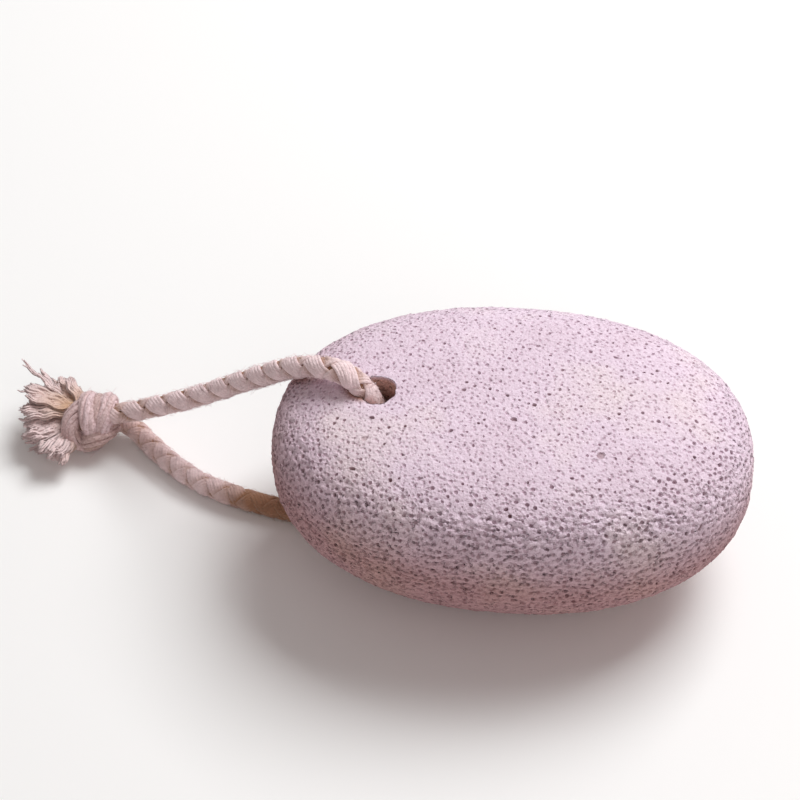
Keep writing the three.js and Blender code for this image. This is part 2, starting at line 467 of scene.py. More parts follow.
def make_knot():
    tubes = Tubes(YARN_SIDES)
    for number, (turn, places) in enumerate(KNOT_TURNS.items()):
        route = in_knot(places)
        line = curve_through(route, ROPE_STEP)
        inward = KNOT_MIDDLE - route[0]
        bundle(tubes, line, inward, TURN_SEED + number, KNOT_ROPE, KNOT_TURN_SHADE[turn])
    groove = (np.array(KNOT_TURNS["left_wrap"]) + np.array(KNOT_TURNS["right_wrap"])) / 2
    line = curve_through(in_knot(GROOVE_REACH * groove), ROPE_STEP)
    bundle(tubes, line, (1, 0, 0), GROOVE_SEED, GROOVE_HALF, GROOVE_SHADE)
    for number, places in enumerate(KNOT_LEGS.values()):
        line = curve_through(in_knot(places), ROPE_STEP)
        braid(tubes, line, KNOT_LAY, KNOT_LEG_SEED + number, KNOT_END_SHADE)
        add_fuzz(tubes, line, ROPE_DIAMETER / 2, KNOT_LEG_SEED + number, KNOT_END_SHADE)
    add_ball(tubes)
    return tubes.make("knot", ROPE_LOWEST)


# ---------------- frayed ends

# A frayed end springs from a root in the knot, and fans out about an angle from X and about a climb,
# each with a half range, in degrees. Its lengths, in millimetres, are for the fan from one side to
# the other, and its shade is how deep the painted shade at its root is. A few strays stick out: their
# angle and their length.
TUFTS = {
    "tuft_back": {
        "root": (-2.2, 2.0, -0.6),
        "swing": (160, 40),
        "climb": (3, 12),
        "lengths": (9.2, 12.2, 13.8, 13.2),
        "shade": 0.8,
        "strays": [(146, 18), (139, 16.2), (154, 18), (159, 16), (118, 10.6), (149, 16)],
        "seed": 3,
    },
    "tuft_front": {
        "root": (-2.6, -1.6, -0.8),
        "swing": (213, 42),
        "climb": (4, 11),
        "lengths": (13, 12.4, 12.2, 9.8),
        "shade": 0.34,
        "strays": [(178, 14.6), (207, 13.4), (236, 12)],
        "seed": 4,
    },
}
TUFT_LOWEST = 0.05 * MM
LOCK_LAYERS = 3
LOCKS = 7  # side by side in a layer
LOCK_ROWS = (-0.26 * MM, 0, 0.26 * MM)
LOCK_BULK = (1.45 * MM, 8, LOCK_ROWS)  # as add_lock takes it
LOCK_LENGTH = (0.84, 1.04)  # to the length of the fan there
LOCK_ROLL = 0.28
LOCK_SHADE = (-0.25, 0.3)  # how its painted shade changes towards the top layer, which is lighter, and at random
LOCK_CURL = (0.1, 0.07)  # how far it bends sideways and up, to its length
LOCK_ROOT = 0.3  # how wide it is at its root, to its full width
LOCK_OPEN = 0.5  # where along it that is reached
STRAY_BULK = (0.25 * MM, 2, LOCK_ROWS[:1])
STRAY_CLIMB = (-8, 12)  # degrees over that of its frayed end
STRAY_SHADE = 0.3
FIBRE_HALF = (0.4 * MM, 0.1 * MM)
FIBRE_TAPER = 0.6  # what its tip loses
FIBRE_STEPS = 17
CRIMP = 4.4 * MM  # the wave that the braid leaves in a strand
CRIMP_SWING = (0.22 * MM, 0.3 * MM)  # how far it swings sideways and up
CRIMP_LAG = 1.3
RAGGED = (0.05, 2.6, 0.025)  # the wave of a lock's tips, its turns across it, and at random
TIP_PALER = 0.8  # what its shade loses by its tip
ROOT_SHADE = 0.45  # what its shade gains at the root


def make_tuft(name, spec):
    """A frayed end: the strands opened out into flat crimped locks of fibres."""
    rng = np.random.default_rng(spec["seed"])
    root = in_knot(spec["root"])
    swing, climb = spec["swing"], spec["climb"]
    tubes = Tubes(4)
    for layer in range(LOCK_LAYERS):
        for lock in range(LOCKS):
            turn = 2 * (lock + rng.uniform(0.05, 0.95)) / LOCKS - 1
            lift = 2 * (layer + rng.uniform(0.1, 0.9)) / LOCK_LAYERS - 1
            aim = (math.radians(swing[0] + swing[1] * turn), math.radians(climb[0] + climb[1] * lift))
            length = np.interp(turn, (-1, -0.4, 0.4, 1), spec["lengths"]) * MM
            length = length * rng.uniform(*LOCK_LENGTH)
            shade = spec["shade"] + LOCK_SHADE[0] * lift + rng.uniform(0, LOCK_SHADE[1])
            add_lock(tubes, rng, root, aim, length, LOCK_BULK, shade)
    for degrees, length in spec["strays"]:
        aim = (math.radians(degrees), math.radians(climb[0] + rng.uniform(*STRAY_CLIMB)))
        add_lock(tubes, rng, root, aim, length * MM, STRAY_BULK, STRAY_SHADE)
    return tubes.make(name, TUFT_LOWEST)


def add_lock(tubes, rng, root, aim, length, bulk, shade):
    """One lock of fibres. aim is its angle from X and its climb, bulk is its half width, how many
    fibres lie side by side in it and the heights of its rows of them, and shade is how deep the
    painted shade at its root is."""
    half_width, fibres, rows = bulk
    angle, climb = aim
    heading = np.array(
        [math.cos(climb) * math.cos(angle), math.cos(climb) * math.sin(angle), math.sin(climb)]
    )
    level = unit(np.cross((0, 0, 1), heading))
    roll = rng.normal(0, LOCK_ROLL)
    across = level * math.cos(roll) + np.cross(heading, level) * math.sin(roll)
    out = np.cross(heading, across)
    share = np.linspace(0, 1, FIBRE_STEPS)[:, None]
    open_out = LOCK_ROOT + (1 - LOCK_ROOT) * np.minimum(1, share / LOCK_OPEN) ** 1.3
    crimp = CRIMP * rng.uniform(0.8, 1.2)
    wave = 2 * math.pi * share * length / crimp + rng.uniform(0, 2 * math.pi)
    curl = across * rng.normal(0, LOCK_CURL[0]) + out * rng.normal(0, LOCK_CURL[1])
    ragged = rng.uniform(0, 2 * math.pi)
    along = share[:, 0]
    depth = shade * (1 - TIP_PALER * along) + ROOT_SHADE * (1 - along) ** 3
    for row in rows:
        for fibre in range(fibres):
            place = 2 * (fibre + 0.5) / fibres - 1 + rng.normal(0, 0.04)
            tips = 1 + RAGGED[0] * math.sin(ragged + RAGGED[1] * place) + rng.normal(0, RAGGED[2])
            reach = length * tips
            swing = CRIMP_SWING[0] * np.sin(wave) * np.minimum(1, 3 * share)
            sideways = place * half_width * open_out + swing
            height = row * open_out + CRIMP_SWING[1] * np.sin(wave + CRIMP_LAG + 0.5 * place)
            line = (
                root
                + heading * reach * share
                + curl * reach * share**2
                + across * (sideways + rng.normal(0, 0.05 * MM) * share)
                + out * (height + rng.normal(0, 0.03 * MM) * share)
            )
            taper = rng.uniform(0.8, 1.2) * (1 - FIBRE_TAPER * along**12)
            tubes.add(line, out, FIBRE_HALF[0] * taper, FIBRE_HALF[1] * taper, depth)


# ---------------- stone

PLAN_POWER = 2.2  # 2 is an ellipse seen from above, more is squarer
CROWN_POWER = 3.3  # the top is a flat pillow
BELLY_POWER = 2.1  # the underside is round
CROWN = 20.5 * MM  # from the widest level up to the top
REST_WEAR = 0.9 * MM  # what the resting flat takes off the bottom
AREA_GRID = (90, 180)  # rows and columns over which the surface's area is worked out

HOLE_X = -27.1 * MM
HOLE_RADIUS = 3.7 * MM
MOUTH_POINTS = 60
MOUTH_RINGS = ((0.42 * MM, 0), (0.02 * MM, 0.16 * MM))  # how far out from the hole, and how deep
MOUTH_CHIPS = 0.22 * MM
# The painted shade at the hole's mouths.
MOUTH_SHADE = 0.05
NOTCH_AT = math.radians(112)  # where the upper mouth's rim is chipped, from X
NOTCH = (0.45 * MM, 0.13)  # how far out the chip reaches, and how far round
WALL_RINGS = 44
# The painted shade on the hole's wall.
WALL_SHADE = 0.15
WALL_ROUGH = (0.16 * MM, 0.9 * MM)  # height and size of the lumps on the hole's wall
ROPE_SHADOW_REACH = 0.9 * MM  # how far from the rope its painted shadow reaches on the stone
ROPE_ROOM = ROPE_DIAMETER / 2 + 0.12 * MM  # the stone keeps this far from a leg's centre line

POLE_POINTS = 12  # round the middle of the resting flat
POLE_TILT = math.radians(178.6)  # where they lie, from straight up

# The sizes of the stone's lumps, and their heights in millimetres.
GRAIN_SIZE, LUMP_SIZE, BROAD_SIZE = 1.4 * MM, 0.62 * MM, 14 * MM
GRAIN = (0.08, 0.08)  # all over, and what the sides have more
LUMPS = 0.23  # on the sides only
BROAD = 0.12
STEEP = (0.7, 0.28)  # a side faces up less than this, and the top this much more

STONE_SEED = 11
SHARP_ABOVE = 0.75  # rims are crisp where the surface faces up at least this much
SHARP_WANDER = 0.35
PIT_TRIES = 90000
PIT_MEDIAN = (0.36 * MM, 0.25 * MM)  # on the sides and on top
PIT_SPREAD = 0.34
PIT_RANGE = (0.17 * MM, 0.52 * MM)
PIT_LAND = (0.125 * MM, 0.06 * MM, 0.45 * MM)  # half the land between pits, more on top, and below
PIT_OVAL = (0.6, 1)  # its width to its length
PIT_DEPTH = (0.4, 1.25)  # the shallowest to its half size, and what the deepest have more
PIT_DEPTHS = ((1.0, 3.0), (1.3, 2.8))  # how the depths are spread, on top and on the sides
PIT_SHADE = (0.1, 0.54, 0.34)  # how dark the painted shade in a pit is: the shallowest, and what the deepest have more, and more on top
PIT_CLEARANCE = 0.55 * MM  # from the hole
RIM_POINTS = ((0.22, 5), (0.34, 6), (0.5, 8), (0.7, 10), (math.inf, 16))  # below a half size
RIM_RISE = (-0.05 * MM, 0.03 * MM)  # the usual rise of a rim, and how much it varies
INNER_RING = (0.74, 0.75, 0.85)  # how far out it is, how deep, and how dark its painted shade is, as shares
INNER_ABOVE = 0.36  # the half size above which a pit has one, in millimetres


class Pillow:
    """The stone's smooth outer shape: a pillow on a rounder belly, worn flat where it rests."""

    def __init__(self):
        low, high = (np.array(corner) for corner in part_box("pumice_stone"))
        self.level = high[2] - CROWN
        self.half = (high - low)[:2] / 2
        self.belly = self.level + REST_WEAR

    def _sizes(self, above):
        """The half sizes above or below the widest level."""
        across = np.broadcast_to(self.half, (len(above), 2))
        return np.column_stack([across, np.where(above, CROWN, self.belly)])

    def _reach(self, direction):
        """For each direction, the power above or below the widest level, how far it points from
        the axis to the plan's power, how far out the surface lies, and the half sizes there."""
        above = direction[:, 2] >= 0
        power = np.where(above, CROWN_POWER, BELLY_POWER)
        x, y, z = np.abs(direction).T
        plan = x**PLAN_POWER + y**PLAN_POWER
        level = plan ** (power / PLAN_POWER) + z**power
        return power, plan, (level ** (-1 / power))[:, None], self._sizes(above)

    def at(self, direction):
        """The surface point in each direction of a unit sphere."""
        _, _, reach, size = self._reach(direction)
        point = direction * reach * size
        point[:, 2] = np.maximum(point[:, 2] + self.level, 0)
        return point

    def direction(self, point):
        """The unit sphere direction in which each point lies."""
        local = point - np.array([0, 0, self.level])
        return unit(local / self._sizes(local[:, 2] >= 0))

    def normal(self, direction):
        """The outward normal at each direction's surface point."""
        ahead = np.maximum(np.abs(direction), 1e-9)
        power, plan, reach, size = self._reach(ahead * np.where(direction < 0, -1, 1))
        slope = plan ** (power / PLAN_POWER - 1)
        across = slope[:, None] * ahead[:, :2] ** (PLAN_POWER - 1)
        steep = np.column_stack([across, ahead[:, 2] ** (power - 1)])
        normal = unit(steep * np.sign(direction) / size)
        resting = (direction * reach * size)[:, 2] + self.level <= 0
        normal[resting] = (0, 0, -1)
        return normal

    def scatter(self, count, rng):
        """Directions whose surface points are spread evenly over the surface."""
        rows, columns = AREA_GRID
        falls = np.linspace(0, math.pi, rows + 1)
        round_about = np.linspace(0, 2 * math.pi, columns + 1)
        fall, turn = np.meshgrid(falls, round_about, indexing="ij")

        def towards(f, t):
            return np.stack([np.sin(f) * np.cos(t), np.sin(f) * np.sin(t), np.cos(f)], axis=-1)

        grid = self.at(towards(fall, turn).reshape(-1, 3)).reshape(rows + 1, columns + 1, 3)
        cell = np.cross(grid[1:, 1:] - grid[:-1, :-1], grid[1:, :-1] - grid[:-1, 1:])
        area = np.linalg.norm(cell, axis=-1).ravel()
        chosen = rng.choice(len(area), count, p=area / area.sum())
        row, column = np.divmod(chosen, columns)
        return towards(
            (row + rng.random(count)) * math.pi / rows,
            (column + rng.random(count)) * 2 * math.pi / columns,
        )


# Pits that stand out: place, half length, half width, turn of the length from X, depth and darkness.
# Their darkness is painted shade in the pit.
MARKED_PITS = [
    ((19.1, -13.6, 44.2), 0.95, 0.9, 0, 0.3, 0.62),
    ((39.5, -21.4, 33.4), 1.1, 0.45, 60, 1.2, 1.3),
    ((-27.4, -7.4, 43.9), 0.65, 0.45, -20, 0.8, 1),
    ((-28.3, -12.6, 43.3), 0.85, 0.6, 10, 0.25, 0.5),
    ((-29.9, -19, 41.4), 0.8, 0.4, -10, 0.6, 0.8),
    ((-22, -21.9, 42.1), 0.55, 0.45, -50, 0.7, 0.9),
    ((2.3, -27.9, 40.9), 0.45, 0.42, 0, 0.7, 1),
    ((1.2, -6.3, 44.9), 0.78, 0.58, -15, 0.55, 0.7),
    ((5, -2.2, 45), 0.55, 0.5, 0, 0.5, 0.75),
    ((-9.6, 0.7, 45), 0.55, 0.45, -10, 0.45, 0.65),
    ((-0.6, -0.1, 45), 0.4, 0.36, 0, 0.8, 1),
    ((37.4, -10.1, 41.4), 0.4, 0.36, 0, 0.8, 1),
    ((19.1, -19.3, 43.2), 0.42, 0.45, 0, 0.4, 0.6),
    ((19.2, -21, 42.7), 0.33, 0.33, 0, 0.7, 1),
]


def settle(points, sizes):
    """The numbers of the circles that keep clear of each other, taken in the order given."""
    places = np.floor(points / (2 * max(sizes))).astype(int).tolist()
    points, sizes = points.tolist(), list(sizes)
    cells, kept = {}, []
    around = list(itertools.product((-1, 0, 1), repeat=3))
    for n, (point, (a, b, c)) in enumerate(zip(points, places)):
        near = (m for i, j, k in around for m in cells.get((a + i, b + j, c + k), ()))
        if all(math.dist(point, points[m]) >= sizes[n] + sizes[m] for m in near):
            cells.setdefault((a, b, c), []).append(n)
            kept.append(n)
    return kept


class StonePoints:
    """The stone's surface points: their directions, how deep they sink, how dark the painted shade on
    them is and which pit's rim they are on."""

    def __init__(self, pillow):
        self.pillow = pillow
        self.directions, self.sink, self.pit, self.rim = [], [], [], []
        self.count = self.rims = 0

    def add(self, directions, sink, pit, rim=0):
        """Adds points and returns their numbers."""
        first, count = self.count, len(directions)
        self.directions.append(directions)
        self.sink.append(one_each(sink, count))
        self.pit.append(one_each(pit, count))
        self.rim.append(np.full(count, rim))
        self.count += count
        return np.arange(first, self.count)

    def add_rim(self, directions, sink, pit):
        self.rims += 1
        self.add(directions, sink, pit, self.rims)


def random_pits(pillow, rng):
    """Directions of pits to try, largest first, with their half sizes and how far they are on top."""
    direction = pillow.scatter(PIT_TRIES, rng)
    on_top = np.clip((pillow.normal(direction)[:, 2] - 0.8) / 0.18, 0, 1)
    median = PIT_MEDIAN[0] + (PIT_MEDIAN[1] - PIT_MEDIAN[0]) * on_top
    size = np.clip(median * np.exp(rng.normal(0, PIT_SPREAD, PIT_TRIES)), *PIT_RANGE)
    largest_first = np.argsort(-size)
    direction, on_top, size = direction[largest_first], on_top[largest_first], size[largest_first]
    place = pillow.at(direction)
    from_hole = np.hypot(place[:, 0] - HOLE_X, place[:, 1])
    large_on_top = on_top * np.clip(size / MM - 0.2, 0, 0.3) * 3
    wanted = (
        (from_hole > HOLE_RADIUS + PIT_CLEARANCE + size)
        & (direction[:, 2] > -0.9995)
        & (rng.random(PIT_TRIES) < 1 - large_on_top)
    )
    return direction[wanted], size[wanted], on_top[wanted]


def add_pits(stone, rng):
    """Pits all over the stone: those that stand out, and the random ones that find room."""
    pillow = stone.pillow
    direction, size, on_top = random_pits(pillow, rng)
    marked = np.array([pit[0] for pit in MARKED_PITS]) * MM
    direction = np.concatenate([pillow.direction(marked), direction])
    size = np.concatenate([[max(pit[1:3]) * MM for pit in MARKED_PITS], size])
    on_top = np.concatenate([np.ones(len(marked)), on_top])
    under = np.clip((-0.1 - pillow.normal(direction)[:, 2]) / 0.8, 0, 1)
    land = PIT_LAND[0] * rng.uniform(0.1, 1.9, len(size))
    land = land + PIT_LAND[1] * on_top + PIT_LAND[2] * under
    kept = settle(pillow.at(direction), size + land)
    direction, size, on_top = direction[kept], size[kept], on_top[kept]
    place, normal = pillow.at(direction), pillow.normal(direction)
    for n, number in enumerate(kept):
        if number < len(MARKED_PITS):
            _, half_long, half_wide, degrees, deep, dark = MARKED_PITS[number]
            halves, turn, deep = (half_long * MM, half_wide * MM), math.radians(degrees), deep * MM
        else:
            halves, turn = (size[n], size[n] * rng.uniform(*PIT_OVAL)), rng.uniform(0, math.pi)
            depths = PIT_DEPTHS[0] if rng.random() < on_top[n] else PIT_DEPTHS[1]
            share = rng.beta(*depths)
            deep = size[n] * (PIT_DEPTH[0] + PIT_DEPTH[1] * share)
            dark = PIT_SHADE[0] + (PIT_SHADE[1] + PIT_SHADE[2] * on_top[n]) * share
        add_pit(stone, rng, (place[n], normal[n]), halves, turn, deep, dark)


def add_pit(stone, rng, seat, halves, turn, deep, dark):
    """A pit: its rim, a steep inner ring if it is large, and its bottom. seat is its place and the
    surface's normal there, and dark is how deep the painted shade in it is."""
    place, normal = seat
    along = np.array([1.0, 0, 0]) if abs(normal[0]) < 0.8 else np.array([0, 1.0, 0])
    along = unit(along - normal * along.dot(normal))
    across = np.cross(normal, along)
    long_way = along * math.cos(turn) + across * math.sin(turn)
    wide_way = np.cross(normal, long_way)
    size = max(halves) / MM
    count = next(points for below, points in RIM_POINTS if size < below)

    def ring(count, share, wobble):
        angle = 2 * math.pi * (np.arange(count) + rng.random()) / count
        reach = share * (1 + rng.normal(0, wobble, count))
        flat = (
            long_way * (np.cos(angle) * reach * halves[0])[:, None]
            + wide_way * (np.sin(angle) * reach * halves[1])[:, None]
        )
        return stone.pillow.direction(place + flat)

    stone.add_rim(ring(count, 1, 0.07), rng.normal(*RIM_RISE, count), 0.1 * dark)
    if size >= INNER_ABOVE:
        share, deeper, darker = INNER_RING
        stone.add(ring(count - 2, share, 0.04), deeper * deep, darker * dark)
    stone.add(stone.pillow.direction(place[None]), deep, dark)


def noise_at(points, size):
    """Smooth noise at each point, in lumps of about a size."""
    return np.array([noise.noise(Vector(p) / size) for p in points.tolist()])


def round_hole(angle, radius, height):
    """Points round the hole's axis."""
    return np.stack([HOLE_X + radius * np.cos(angle), radius * np.sin(angle), height], axis=1)


def add_mouth(stone, rng, top):
    """Two rings of points round a mouth of the hole. Returns the numbers of the inner ring."""
    angle = turns(MOUTH_POINTS)
    height = np.full(MOUTH_POINTS, stone.pillow.level + (1 if top else -1) * 15 * MM)
    chips = noise_at(np.stack([3 * np.cos(angle), 3 * np.sin(angle), height / MM], axis=1), 1)
    from_notch = (angle - NOTCH_AT + math.pi) % (2 * math.pi) - math.pi
    notch = top * np.exp(-((from_notch / NOTCH[1]) ** 2))
    for reach, sink in MOUTH_RINGS:
        radius = HOLE_RADIUS + reach + MOUTH_CHIPS * chips + NOTCH[0] * notch
        radius += rng.normal(0, 0.03 * MM, MOUTH_POINTS)
        ring = round_hole(angle, radius, height)
        for _ in range(12):  # settles on the height of the surface straight above
            surface = stone.pillow.at(stone.pillow.direction(ring))
            ring[:, 2] += surface[:, 2] - ring[:, 2]
        inner = stone.add(stone.pillow.direction(ring), sink, MOUTH_SHADE)
    return inner


def add_pole(stone):
    """A ring of points round the middle of the resting flat. Returns their numbers."""
    angle = turns(POLE_POINTS)
    level = math.sin(POLE_TILT)
    down = np.full(POLE_POINTS, math.cos(POLE_TILT))
    return stone.add(np.stack([level * np.cos(angle), level * np.sin(angle), down], axis=1), 0, 0)


def skin_faces(stone, mouths):
    """Triangles between the stone's points, laid out flat by a projection from the bottom. The
    mouths of the hole and the middle of the resting flat stay open."""
    directions = np.concatenate(stone.directions)
    flat = directions[:, :2] / (1 + directions[:, 2:])
    _, _, triangles, originals, _, _ = delaunay_2d_cdt(
        [Vector(p) for p in flat.tolist()], [], [], 0, 1e-9
    )
    first = np.array([o[0] for o in originals])
    triangles = first[np.array(triangles)]
    mouth_of = np.zeros(stone.count, int)
    for number, mouth in enumerate(mouths):
        mouth_of[mouth] = number + 1
    spans = mouth_of[triangles]
    open_hole = (spans[:, 0] > 0) & (spans == spans[:, :1]).all(axis=1)
    return triangles[~open_hole].tolist()


def add_wall(points, faces, mouths):
    """The hole's wall: rings of points between its mouths. Returns all the points."""
    top, bottom = mouths
    angle = turns(MOUTH_POINTS)
    height, size = WALL_ROUGH
    rows = [top]
    for row in range(1, WALL_RINGS):
        share = row / WALL_RINGS
        ring = points[top] * (1 - share) + points[bottom] * share
        ring = round_hole(angle, HOLE_RADIUS + height * noise_at(ring, size), ring[:, 2])
        rows.append(np.arange(len(points), len(points) + MOUTH_POINTS))
        points = np.vstack([points, ring])
    rows.append(bottom)
    for upper, lower in zip(rows[:-1], rows[1:]):
        for i in range(MOUTH_POINTS):
            j = (i + 1) % MOUTH_POINTS
            faces.append([upper[j], upper[i], lower[i], lower[j]])
    return points


def press_by_rope(points, line):
    """Moves points that the rope would pass through out to its surface. Returns how strongly the
    rope's painted shadow falls on each point."""
    reach = ROPE_ROOM + 3 * ROPE_SHADOW_REACH
    low, high = line.min(axis=0) - reach, line.max(axis=0) + reach
    near = np.flatnonzero(((points > low) & (points < high)).all(axis=1))
    away = points[near][:, None] - line[None]
    distance = np.linalg.norm(away, axis=2)
    nearest = distance.argmin(axis=1)
    rows = np.arange(len(near))
    gap = distance[rows, nearest]
    inside = gap < ROPE_ROOM
    outwards = away[rows, nearest][inside] / gap[inside, None]
    points[near[inside]] = line[nearest[inside]] + outwards * ROPE_ROOM
    rope_shadow_share = np.zeros(len(points))
    rope_shadow_share[near] = np.exp(-((np.maximum(gap - ROPE_ROOM, 0) / ROPE_SHADOW_REACH) ** 2))
    return rope_shadow_share


def make_stone(lines):
    """The stone, with room for the rope's centre lines."""
    rng = np.random.default_rng(STONE_SEED)
    pillow = Pillow()
    stone = StonePoints(pillow)
    mouths = [add_mouth(stone, rng, top) for top in (True, False)]
    pole_ring = add_pole(stone)
    add_pits(stone, rng)
    faces = skin_faces(stone, mouths)

    directions = np.concatenate(stone.directions)
    points, normals = pillow.at(directions), pillow.normal(directions)
    grain = noise_at(points, GRAIN_SIZE)
    steep = 1 - np.clip((normals[:, 2] - STEEP[0]) / STEEP[1], 0, 1)
    rise = (GRAIN[0] + GRAIN[1] * steep) * grain + LUMPS * steep * noise_at(points, LUMP_SIZE)
    rise = rise + BROAD * noise_at(points, BROAD_SIZE)
    rise[np.concatenate(mouths)] = 0
    points = points - normals * (np.concatenate(stone.sink) - rise * MM)[:, None]
    points[:, 2] = np.maximum(points[:, 2], 0)

    pole = len(points)
    points = np.vstack([points, [0, 0, 0]])
    for i in range(POLE_POINTS):
        faces.append([pole_ring[(i + 1) % POLE_POINTS], pole_ring[i], pole])
    points = add_wall(points, faces, mouths)
    on_wall = len(points) - pole - 1
    values = {
        # painted shade: in the pits, at the hole's mouths and on its wall
        "pit": np.concatenate([*stone.pit, [0], np.full(on_wall, WALL_SHADE)]),
        "wall": np.concatenate([np.zeros(pole + 1), np.ones(on_wall)]),
        "rough": np.concatenate([steep, np.ones(on_wall + 1)]),
        # how strongly the rope's painted shadow falls on each point
        "rope_shadow": np.max([press_by_rope(points, line) for line in lines], axis=0),
    }
    made = make_object("stone", points, faces, values)
    crisp = normals[:, 2] + SHARP_WANDER * grain > SHARP_ABOVE
    sharpen_rims(made.data, np.concatenate(stone.rim), crisp)
    return made


def sharpen_rims(mesh, rim, crisp):
    """Makes the rims of the pits in the crisp part sharp edges."""
    ends = np.empty(2 * len(mesh.edges), np.int32)
    mesh.edges.foreach_get("vertices", ends)
    ends = ends.reshape(-1, 2)
    on_skin = (ends < len(rim)).all(axis=1)
    first, last = np.where(on_skin[:, None], ends, 0).T
    sharp = on_skin & (rim[first] > 0) & (rim[first] == rim[last]) & crisp[first]
    mesh.attributes.new("sharp_edge", "BOOLEAN", "EDGE").data.foreach_set("value", sharp)


# ---------------- materials

WHITE = (1, 1, 1)
BLACK = (0, 0, 0)

# Noises: scale to the metre, and detail.
BROAD_NOISE = (60, 3)
SPECK_NOISE = (2300, 3)
LUMP_NOISE = (1500, 1)
GRAIN_NOISE = (3600, 3)
MOTTLE_NOISE = (700, 4)
DIRT_NOISE = (1900, 3)
FLUFF_NOISE = (1500, 3)

# The stone's colours, some as a ramp of positions and colours. Those that have WHITE, the low tone
# and the painted shadow of the rope darken what is under them.
STONE_BODY = [(0.3, (0.8, 0.655, 0.76)), (0.5, (0.845, 0.705, 0.82)), (0.72, (0.865, 0.74, 0.79))]
# The low tone: darker and browner towards the bottom, partly painted shade of the underside and
# partly a browner tone of the stone there.
LOW_SHADE_TONE = (0.62, 0.45, 0.4)
LOW_RANGE = {"From Min": 42 * MM, "From Max": 22 * MM}  # the heights where it starts and is full
LOW_SLANT = (0.08, 0, 1)  # it starts a little higher at the rope's end
STONE_SPECKS = [(0.33, (0.68, 0.58, 0.62)), (0.66, WHITE)]
SPECKLED = 0.5
# Painted shade in the bumped dimples, darker at their middles.
DIMPLE_SHADE_COLOUR = [(0, (0.72, 0.62, 0.66)), (0.6, WHITE)]
DIMPLE_SCALE = 950
DIMPLE_RANGE = {"From Min": 0.08, "From Max": 0.5}
# Painted shade in the pits.
PIT_SHADE_RAMP = [(0.06, BLACK), (0.95, WHITE)]
PIT_SHADE_COLOUR = (0.26, 0.14, 0.15)
# Painted shade and warm painted reflection on the hole's wall.
HOLE_SHADE_COLOUR = (0.64, 0.41, 0.35)
ROPE_SHADOW_COLOUR = (0.5, 0.3, 0.2)
STONE_SURFACE = {"Roughness": 0.92, "Specular IOR Level": 0.25}

# Bumps: height, and strength where it isn't the stone's roughness, which is less on its top.
STONE_ROUGH = {"To Min": 0.5, "To Max": 1}
LUMP_BUMP = 0.45 * MM
DIMPLE_BUMP = 0.35 * MM
GRAIN_BUMP = (0.08 * MM, 0.7)
FLUFF_BUMP = (0.3 * MM, 0.8)
FIBRE_BUMP = (0.16 * MM, 0.8)

# Each cotton's bright colour, its deep one of painted shade between the strands, and how much dirt
# shows.
COTTONS = {
    "cotton_rope": ((0.97, 0.77, 0.79), (0.38, 0.2, 0.12), 0.25),
    "cotton_knot": ((0.9, 0.7, 0.73), (0.38, 0.22, 0.15), 0.9),
    "cotton_fray": ((0.9, 0.71, 0.71), (0.63, 0.39, 0.23), 0.25),
}
MOTTLE = (0.35, 0.65, 0.87)  # where its ramp starts and ends, and how much darker it starts
DEPTH_RAMP = [(0.15, BLACK), (0.9, WHITE)]
COTTON_DIRT = [(0.36, (0.72, 0.64, 0.62)), (0.56, WHITE)]
FIBRE_SCALE = (5200, 900, 1)  # fine across the yarn and long along it
FIBRE_SLANT = (0, 0, math.radians(28))
COTTON_SURFACE = {
    "Roughness": 0.9,
    "Specular IOR Level": 0.2,
    "Sheen Weight": 0.25,
    "Sheen Roughness": 0.5,
}


class Nodes:
    """Shorthand for building a material's node tree."""

    def __init__(self, name):
        self.material = bpy.data.materials.new(name)
        self.material.use_nodes = True
        self.tree = self.material.node_tree
        self.shader = self.tree.nodes["Principled BSDF"]

    def put(self, value, socket):
        """Links an output to a socket, or sets the socket to a number, a vector or a colour."""
        if isinstance(value, bpy.types.NodeSocket):
            self.tree.links.new(value, socket)
        else:
            socket.default_value = (*value, 1) if socket.type == "RGBA" else value

    def add(self, kind, **settings):
        """A node, with something for each input or property that is named."""
        node = self.tree.nodes.new(kind)
        for key, value in settings.items():
            if key in node.inputs:
                self.put(value, node.inputs[key])
            else:
                setattr(node, key, value)
        return node

    def surface(self, **settings):
        """Fills the shader's own sockets."""
        for key, value in settings.items():
            self.put(value, self.shader.inputs[key])

    def attribute(self, name):
        return self.add("ShaderNodeAttribute", attribute_name=name).outputs["Fac"]

    def place(self):
        return self.add("ShaderNodeTexCoord").outputs["Object"]

    def noise(self, scale, detail, place=None):
        place = self.place() if place is None else place
        return self.add("ShaderNodeTexNoise", Vector=place, Scale=scale, Detail=detail).outputs["Fac"]

    def map_range(self, value, kind, limits):
        node = self.add("ShaderNodeMapRange", interpolation_type=kind, Value=value, **limits)
        return node.outputs[0]

    def ramp(self, value, stops):
        node = self.add("ShaderNodeValToRGB", Fac=value)
        elements = node.color_ramp.elements
        while len(elements) < len(stops):
            elements.new(0.5)
        for element, (position, colour) in zip(elements, stops):
            element.position = position
            element.color = (*colour, 1)
        return node.outputs["Color"]

    def mix(self, factor, first, second, blend="MIX"):
        """A mix of two colours. Each of the three is a value or an output."""
        node = self.add("ShaderNodeMix", data_type="RGBA", blend_type=blend)
        for number, value in ((0, factor), (6, first), (7, second)):
            self.put(value, node.inputs[number])
        return node.outputs[2]

    def bump(self, height, distance, strength, after=None):
        """A bump. Its strength is a number or an output, and it comes on top of the bump after."""
        node = self.add("ShaderNodeBump", Height=height, Distance=distance, Strength=strength)
        if after is not None:
            self.put(after, node.inputs["Normal"])
        return node.outputs["Normal"]


